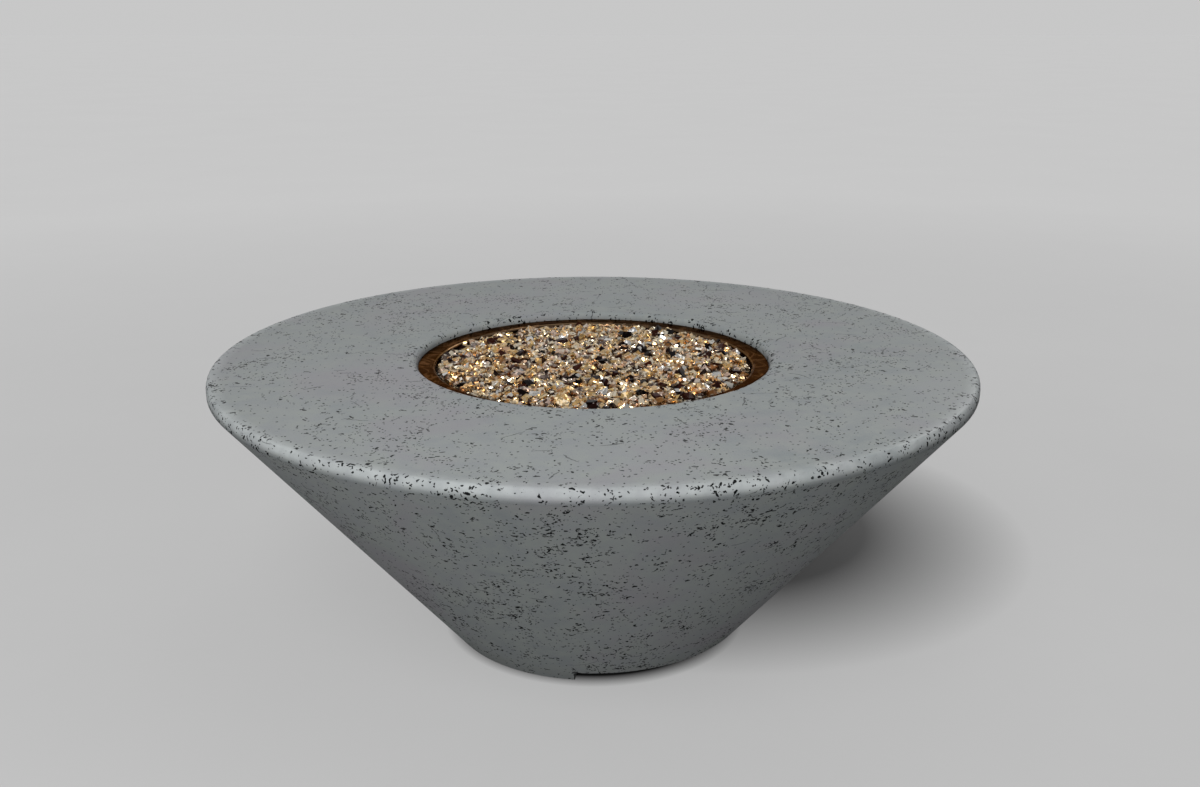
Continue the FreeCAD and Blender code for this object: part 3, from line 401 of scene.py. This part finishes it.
def metal(name, first, second, smooth, rough, scale=60.0, dirt=0.25):
    """A metal with two tones, fine grain, and grime in patches."""
    shader = Shader(name)
    patches = shader.noise(shader.where, scale, 4.0, 0.6)
    grain = shader.noise(shader.where, 700.0, 3.0, 0.6)
    tone = shader.mix(shader.between(patches, 0.35, 0.65), first, second)
    grime = shader.between(shader.noise(shader.where, 2.3 * scale, 5.0, 0.7), 0.52, 0.72, 0.0, dirt)
    tone = shader.mix(grime, tone, colour(58, 52, 46))
    roughness = shader.between(shader.plus(grain, patches), 0.7, 1.35, smooth, rough)
    shader.set(Base_Color=tone, Metallic=1.0, Roughness=roughness, Normal=shader.bump(grain, 0.00006))
    return shader.material


def threaded(name, first, second, axis, origin, pitch):
    """Pipe with cut threads along an axis."""
    shader = Shader(name)
    along = shader.vector("DOT_PRODUCT", shader.vector("SUBTRACT", shader.where, origin), axis)
    wave = shader.math("PINGPONG", along, pitch / 2)
    patches = shader.noise(shader.where, 90.0, 4.0, 0.6)
    tone = shader.mix(shader.between(patches, 0.35, 0.65), first, second)
    # Painted shade in the thread roots.
    tone = shader.mix(shader.between(wave, 0.0, pitch / 6, 0.45, 0.0), tone, colour(40, 36, 32))
    shader.set(Base_Color=tone, Metallic=1.0, Roughness=shader.between(patches, 0.3, 0.7, 0.25, 0.45),
               Normal=shader.bump(wave, 0.8, 0.9))
    return shader.material


def heat_tinted():
    """The pan's polished steel, tinted brown and bronze by years of fire, with marks that run round it."""
    shader = Shader("heat_tinted_steel")
    where = shader.where
    x, y, z = shader.parts(where)
    radius = shader.axis_distance()
    ringed = shader.joined(shader.times(x, 0.02), shader.times(y, 0.02), radius)
    round_marks = shader.noise(ringed, 600.0, 3.0, 0.6)
    clouds = shader.noise(where, 19.0, 3.0, 0.60, 1.2)
    patches = shader.noise(where, 24.0, 3.0, 0.5)
    waves = shader.noise(where, 17.0, 2.0)
    tone = shader.ramp(clouds, [
        (0.38, colour(8, 6, 5)),
        (0.45, colour(42, 29, 21)),
        (0.505, colour(134, 100, 74)),
        (0.55, colour(48, 33, 25)),
        (0.61, colour(10, 8, 8)),
    ])
    tone = shader.mix(shader.between(patches, 0.46, 0.62, 0.0, 0.8), tone, colour(24, 16, 12))
    # A painted highlight along the flange's bend into the well.
    bend = shader.between(shader.distance(radius, FLANGE_BEND), 0.0008, 0.0022, 0.30, 0.0)
    tone = shader.mix(bend, tone, colour(190, 156, 118))
    grime = shader.mix(shader.between(patches, 0.4, 0.62), colour(150, 146, 140), colour(112, 98, 86))
    tone = shader.mix(shader.between(z, *WELL_GRIME, 1.0, 0.0), tone, grime)
    buckled = shader.bump(waves, 0.0010)
    shader.set(Base_Color=tone, Metallic=1.0, Specular_Tint=colour(198, 178, 166),
               Roughness=shader.between(patches, 0.3, 0.7, 0.14, 0.25),
               Normal=shader.bump(round_marks, 0.000003, 0.2, buckled))
    return shader.material


def plain(name, first, second, rough, scale, depth):
    """A fibre or plastic surface with two tones and a fine uneven surface."""
    shader = Shader(name)
    patches = shader.noise(shader.where, scale, 5.0, 0.65)
    tone = shader.mix(shader.between(patches, 0.35, 0.65), first, second)
    shader.set(Base_Color=tone, Roughness=shader.between(patches, 0.3, 0.7, rough - 0.08, rough + 0.08),
               Normal=shader.bump(patches, depth))
    return shader.material


def braid():
    """The hose's woven steel cover: fine crossed strands."""
    shader = Shader("braided_steel")
    strand = 0.0011
    x, y, z = shader.parts(shader.where)
    one = shader.math("PINGPONG", shader.plus(x, y, z), strand)
    two = shader.math("PINGPONG", shader.minus(shader.minus(x, y), z), strand)
    height = shader.highest(one, two)
    patches = shader.noise(shader.where, 70.0, 3.0, 0.6)
    # Painted shade between the strands, with the strands' own pale steel on their crowns.
    tone = shader.mix(shader.between(height, 0.0004, strand), colour(88, 88, 90), colour(205, 206, 208))
    tone = shader.mix(shader.between(patches, 0.5, 0.75, 0.0, 0.4), tone, colour(120, 116, 110))
    shader.set(Base_Color=tone, Metallic=1.0, Roughness=shader.between(patches, 0.3, 0.7, 0.26, 0.42),
               Normal=shader.bump(height, 1.0))
    return shader.material


# Fire glass

# Each kind's share of the pieces, the solid that it replaces, its slot, its colours and its surface
GLASS_KINDS = {
    "clear_glass": (0.46, "clear_glass_pieces", "clear_glass",
                    [(0.0, colour(255, 242, 218)), (0.3, colour(255, 220, 166)), (0.6, colour(254, 200, 132)),
                     (0.85, colour(246, 224, 214)), (1.0, colour(232, 176, 116))],
                    dict(metallic=0.55, transmission=0.25, rough=0.02, crackle=0.80)),
    "bronze_glass": (0.13, "bronze_glass_pieces", "bronze_glass",
                     [(0.0, colour(128, 82, 44)), (0.5, colour(178, 124, 70)), (1.0, colour(98, 64, 42))],
                     dict(metallic=0.85, transmission=0.0, rough=0.05, crackle=0.35)),
    "gold_mirror_glass": (0.24, None, "bronze_glass",
                          [(0.0, colour(252, 214, 146)), (0.6, colour(240, 192, 124)),
                           (1.0, colour(254, 234, 194))],
                          dict(metallic=0.92, transmission=0.0, rough=0.03, crackle=0.40)),
    "smoky_glass": (0.05, None, "clear_glass",
                    [(0.0, colour(104, 86, 72)), (0.6, colour(146, 130, 124)), (1.0, colour(70, 56, 46))],
                    dict(metallic=0.75, transmission=0.1, rough=0.04, crackle=0.6)),
    "black_glass": (0.08, "black_glass_pieces", "black_glass",
                    [(0.0, colour(7, 5, 5)), (0.5, colour(22, 9, 8)), (1.0, colour(58, 24, 14))],
                    dict(metallic=0.0, transmission=0.0, rough=0.05, crackle=0.0, specular=0.05)),
    "bright_mirror_glass": (0.04, None, "clear_glass",
                            [(0.0, colour(246, 246, 246)), (1.0, colour(254, 248, 236))],
                            dict(metallic=0.97, transmission=0.0, rough=0.02, crackle=0.15)),
}
LARGE_KINDS = ("black_glass", "bright_mirror_glass")
LARGE_SHARE = 0.14
LARGE_SIZES = (0.014, 0.023)
SHAPE_COUNT = 60
# Spacing, lift over the glass's level, sizes and greatest tilt of each sheet of pieces, from below
SHEETS = (
    (0.0150, -0.0085, (0.016, 0.023), 0.5),
    (0.0125, -0.0040, (0.011, 0.019), 0.8),
    (0.0116, 0.0, (0.009, 0.017), 1.1),
)
# Height of a row of the six-sided grid, and how far its points are shaken, in spacings
ROW_PITCH = 0.866
GRID_SHAKE = 0.42
HEIGHT_SHAKE = 0.0030
WALL_MARGIN = 0.006
random = np.random.default_rng(11)


def glass_fill():
    """The body of the fill: dark glass crumbs seen between the pieces, with painted shade along their edges.
    """
    shader = Shader("glass_fill")
    crumb_scale = 130.0
    crumbs = shader.cells(shader.where, crumb_scale)
    edge = shader.cells(shader.where, crumb_scale, "DISTANCE_TO_EDGE")["Distance"]
    paleness, darkness, tilt = shader.parts(crumbs["Color"])
    tone = shader.mix(paleness, colour(48, 40, 32), colour(140, 116, 84))
    tone = shader.mix(shader.over(darkness, 0.72), tone, colour(34, 32, 32))
    # Painted shade along the crumbs' edges.
    tone = shader.mix(shader.between(edge, 0.02, 0.12, 0.8, 0.0), tone, colour(18, 15, 12))
    shader.set(Base_Color=tone, Metallic=0.4, Roughness=shader.between(tilt, 0.0, 1.0, 0.12, 0.35),
               Normal=shader.bump(shader.plus(edge, tilt), 0.003))
    return shader.material


def piece_material(name, stops, metallic, transmission, rough, crackle, specular=0.5):
    """Broken glass whose pieces differ in tone by the mesh's tone attribute.

    Its facet setting, from 0 to 1, tilts the facets and sets how many cells get painted glints and painted
    dark facets.
    """
    shader = Shader(name)
    where = shader.where
    smudge = shader.noise(where, 160.0, 3.0, 0.6)
    flakes = shader.cells(where, 225.0)["Color"]
    facet_light = shader.random(flakes)[0]
    tone = shader.ramp(shader.add("ShaderNodeAttribute", attribute_name="tone").outputs["Fac"], stops)
    tone = shader.mix(shader.between(smudge, 0.55, 0.75, 0.0, 0.35), tone, colour(96, 84, 70))
    # Painted glints on some cells and painted dark facets on others.
    tone = shader.mix(shader.times(shader.over(facet_light, 0.74), crackle), tone, colour(255, 246, 226))
    tone = shader.mix(shader.times(shader.math("LESS_THAN", facet_light, 0.20), crackle), tone, colour(52, 38, 26))
    out = shader.math("DIVIDE", shader.axis_distance(), GLASS_RADIUS)
    surface = shader.between(shader.times(out, out), 0.0, 1.0, GLASS_LEVEL + GLASS_RISE, GLASS_LEVEL)
    sunk = shader.minus(shader.parts(where)[2], surface)
    # Painted shade on pieces that lie lower in the bed, below the top pieces.
    tone = shader.mix(shader.between(sunk, -0.0060, 0.0030, 0.85, 0.0), tone, colour(30, 20, 13))
    facet = shader.scaled(shader.vector("SUBTRACT", flakes, HALF_GREY), 1.1 * crackle)
    shader.set(Base_Color=tone, Metallic=metallic, Transmission_Weight=transmission,
               Specular_IOR_Level=specular, Roughness=shader.between(smudge, 0.3, 0.7, rough, rough + 0.10),
               Normal=shader.vector("NORMALIZE", shader.vector("ADD", shader.normal(), facet)))
    return shader.material


def shard_shapes(count):
    """Chunky convex splinters about one unit across, as (points, triangles)."""
    shapes = []
    for _ in range(count):
        mesh = bmesh.new()
        stretch = np.array([1.0, random.uniform(0.6, 0.95), random.uniform(0.38, 0.72)]) / 2
        for corner in range(8):
            signs = np.array([(corner & 1) * 2 - 1, (corner >> 1 & 1) * 2 - 1, (corner >> 2 & 1) * 2 - 1])
            mesh.verts.new((signs * random.uniform(0.55, 1.0, 3)) * stretch)
        bmesh.ops.convex_hull(mesh, input=mesh.verts)
        inside = [vertex for vertex in mesh.verts if not vertex.link_faces]
        bmesh.ops.delete(mesh, geom=inside, context="VERTS")
        bmesh.ops.recalc_face_normals(mesh, faces=mesh.faces)
        mesh.verts.index_update()
        points = np.array([vertex.co for vertex in mesh.verts])
        triangles = np.array([[vertex.index for vertex in face.verts] for face in mesh.faces])
        shapes.append((points, triangles))
        mesh.free()
    return shapes


def scattered(spacing, radius):
    """Points of a shaken six-sided grid inside a circle."""
    places = []
    rows = int(radius / (spacing * ROW_PITCH)) + 1
    for row in range(-rows, rows + 1):
        for column in range(-rows - 1, rows + 2):
            spot = np.array([(column + 0.5 * (row % 2)) * spacing, row * spacing * ROW_PITCH])
            spot += random.uniform(-GRID_SHAKE, GRID_SHAKE, 2) * spacing
            if np.hypot(*spot) < radius:
                places.append(spot)
    return places


def any_turn(tilt):
    """A turn about Z and a lean of up to tilt."""
    lean = Matrix.Rotation(random.uniform(0, tilt), 3, Vector((*random.normal(size=2), 0.001)).normalized())
    spin = Matrix.Rotation(random.uniform(0, math.tau), 3, "Z")
    return np.array(lean @ spin)


def build_pieces(shapes):
    """Lays the sheets of splinters and returns the points, triangles and tones of each kind."""
    made = {kind: ([], [], []) for kind in GLASS_KINDS}
    names = list(GLASS_KINDS)
    weights = np.array([facts[0] for facts in GLASS_KINDS.values()])
    for spacing, lift, sizes, tilt in SHEETS:
        for spot in scattered(spacing, GLASS_RADIUS - WALL_MARGIN):
            points, triangles = shapes[random.integers(len(shapes))]
            distance = np.hypot(*spot)
            kind = names[random.choice(len(names), p=weights / weights.sum())]
            large = kind in LARGE_KINDS or random.random() < LARGE_SHARE
            size = random.uniform(*(LARGE_SIZES if large else sizes))
            size = min(size, 2 * (GLASS_RADIUS - distance))
            height = GLASS_LEVEL + GLASS_RISE * (1 - (distance / GLASS_RADIUS) ** 2) + lift
            height += random.uniform(-HEIGHT_SHAKE, HEIGHT_SHAKE)
            placed = (points * size) @ any_turn(tilt).T + np.array([*spot, height])
            placed[:, 2] -= max(0.0, placed[:, 2].max() - GLASS_TOP)
            all_points, all_triangles, tones = made[kind]
            start = sum(len(part) for part in all_points)
            all_points.append(placed)
            all_triangles.append(triangles + start)
            tones.append(np.full(len(triangles), random.random()))
    return made


def add_mesh(name, points, triangles, tones, material, node, slot):
    mesh = bpy.data.meshes.new(name)
    mesh.from_pydata(np.concatenate(points).tolist(), [], np.concatenate(triangles).tolist())
    mesh.attributes.new("tone", "FLOAT", "FACE").data.foreach_set("value", np.concatenate(tones))
    mesh.materials.append(material)
    piece = bpy.data.objects.new(name, mesh)
    bpy.context.scene.collection.objects.link(piece)
    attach(piece, "table")
    if node:
        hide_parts(node)


def make_fire_glass():
    for kind, parts in build_pieces(shard_shapes(SHAPE_COUNT)).items():
        node, slot, stops, surface = GLASS_KINDS[kind][1:]
        add_mesh(f"{kind}_shards", *parts, piece_material(kind, stops, **surface), node, slot)


# Materials of the solids

def dress(material, *nodes):
    for node in nodes:
        piece = frame["nodes"][node]
        if not piece.material_slots:
            piece.data.materials.append(material)
        for held in piece.material_slots:
            held.material = material


def dress_all():
    valve_turn = next(joint for joint in frame["joints"] if joint["name"] == "valve_turn")
    brass = metal("brass", colour(196, 156, 88), colour(176, 136, 74), 0.16, 0.34)
    steel = metal("burner_steel", colour(168, 160, 150), colour(120, 104, 92), 0.22, 0.45, dirt=0.5)
    chrome = metal("chrome", colour(222, 223, 226), colour(206, 207, 211), 0.06, 0.20, scale=40.0, dirt=0.12)
    zinc = metal("zinc_plate", colour(186, 186, 180), colour(160, 162, 160), 0.22, 0.42)
    steel_thread = threaded("threaded_pipe", colour(150, 148, 144), colour(118, 116, 112),
                            axis=(0, 0, 1), origin=(0, 0, 0), pitch=0.0018)
    brass_thread = threaded("threaded_brass", colour(196, 156, 88), colour(170, 132, 72),
                            axis=valve_turn["axis"], origin=valve_turn["pos_m"], pitch=0.0015)
    gasket = plain("gasket_fibre", colour(214, 208, 194), colour(188, 180, 164), 0.85, 900.0, 0.0004)
    seal = plain("seal_plastic", colour(236, 236, 232), colour(224, 224, 218), 0.42, 400.0, 0.00005)
    dress(concrete(), "concrete_shell")
    dress(heat_tinted(), "burner_pan")
    dress(glass_fill(), "fire_glass_bed")
    dress(steel, "star_burner")
    dress(brass, "mixer_jet", "hub_adapter", "outlet_adapter", "gas_inlet_adapter", "hose_flare_nuts",
          "valve_body", "valve_end_cap", "valve_stem", "packing_nut")
    dress(zinc, "hub_washers", "hub_locknuts", "air_mixer", "sleeve_washer", "sleeve_locknut")
    dress(steel_thread, "hub_nipple")
    dress(brass_thread, "wall_sleeve")
    dress(chrome, "valve_cover_ring", "key_shaft", "key_bar", "valve_ball")
    dress(braid(), "gas_hose")
    dress(gasket, "pan_gasket")
    dress(seal, "valve_seats", "stem_packing")


# Floor, backdrop and lamps

FLOOR_HALF = 30.0
# Middle of the painted shadow: the floor's glow is left out around it, to the right behind the base.
SHADOW_MIDDLE = (0.24, 0.40, 0.0)
# Painted shadow on the floor under the base.
SHADOW_UNDER_BASE = colour(38, 38, 38)
BACKDROP_LOW = 0.575
BACKDROP_HIGH = 0.30
# Name, place, target, size and level of each lamp
LAMPS = (
    ("key_lamp", (-0.70, -2.65, 2.75), (0.0, 0.0, 0.40), 1.3, 0.42),
    ("low_lamp", (-0.45, -2.90, 0.80), (0.0, 0.0, 0.25), 0.8, 0.23),
    ("top_lamp", (0.5, 0.6, 3.0), (0.0, 0.0, 0.45), 1.6, 0.08),
    ("back_lamp", (1.5, 2.0, 1.7), (0.0, 0.0, 0.45), 0.8, 0.06),
)


def floor_material():
    """A grey floor that looks paler to the camera far away and outside a painted shadow, which lies under the
    base and to the right behind the table.
    """
    shader = Shader("floor")
    where = shader.where
    patches = shader.noise(where, 1.6, 4.0, 0.6)
    tone = shader.mix(shader.between(patches, 0.3, 0.7), colour(113, 113, 113), colour(118, 118, 118))
    # Under the base the floor is painted dark, a painted shadow, and its glow is left out there.
    outside = shader.between(shader.vector("LENGTH", where), BASE_RADIUS - 0.018, BASE_RADIUS + 0.018)
    tone = shader.mix(outside, SHADOW_UNDER_BASE, tone)
    # The glow seen by the camera is left out near SHADOW_MIDDLE, which paints the shadow there.
    away = shader.vector("DISTANCE", where, SHADOW_MIDDLE)
    glow = shader.plus(shader.between(away, 0.30, 0.62, 0.0, 0.38),
                       shader.between(away, 1.05, 4.5, 0.0, 0.104))
    shader.set(Base_Color=tone, Roughness=0.85, Emission_Color=WHITE,
               Emission_Strength=shader.times(glow, outside, shader.seen()))
    return shader.material


def make_stage():
    mesh = bpy.data.meshes.new("floor")
    shape = bmesh.new()
    bmesh.ops.create_grid(shape, x_segments=1, y_segments=1, size=FLOOR_HALF)
    shape.to_mesh(mesh)
    shape.free()
    mesh.materials.append(floor_material())
    floor = bpy.data.objects.new("floor", mesh)
    bpy.context.scene.collection.objects.link(floor)


def make_world():
    """Soft light from above and from a band low behind the table, and a pale backdrop that is only seen."""
    world = bpy.data.worlds.new("studio")
    bpy.context.scene.world = world
    world.use_nodes = True
    world.node_tree.nodes.clear()
    sky = Nodes(world.node_tree)
    direction = sky.parts(sky.add("ShaderNodeTexCoord").outputs["Generated"])
    overhead = sky.between(direction["Z"], 0.1, 1.0, 0.04, 0.42)
    rear = sky.between(direction["Y"], 0.15, 0.75, 0.0, 0.60)
    low = sky.between(direction["Z"], 0.30, 0.60, 1.0, 0.0)
    light = sky.math("MULTIPLY_ADD", rear, low, overhead)
    backdrop = sky.between(direction["Z"], 0.05, 0.8, BACKDROP_LOW, BACKDROP_HIGH)
    lighting = sky.add("ShaderNodeBackground", {"Color": WHITE, "Strength": light}).outputs[0]
    shown = sky.add("ShaderNodeBackground", {"Color": WHITE, "Strength": backdrop}).outputs[0]
    mixed = sky.add("ShaderNodeMixShader", (sky.seen(), lighting, shown)).outputs[0]
    sky.add("ShaderNodeOutputWorld", {"Surface": mixed})


def add_lamp(name, place, target, size, level):
    """A square soft lamp that lights a surface facing it at the target by its level.

    At level 1 that surface shows its colour as written.
    """
    data = bpy.data.lights.new(name, "AREA")
    data.shape = "SQUARE"
    data.size = size
    towards = Vector(target) - Vector(place)
    data.energy = level * math.pi * math.pi * towards.length_squared
    lamp = bpy.data.objects.new(name, data)
    lamp.location = place
    lamp.rotation_euler = towards.to_track_quat("-Z", "Y").to_euler()
    bpy.context.scene.collection.objects.link(lamp)


make_camera()
dress_all()
make_fire_glass()
make_stage()
make_world()
for lamp in LAMPS:
    add_lamp(*lamp)
bpy.context.scene.view_settings.view_transform = "Standard"
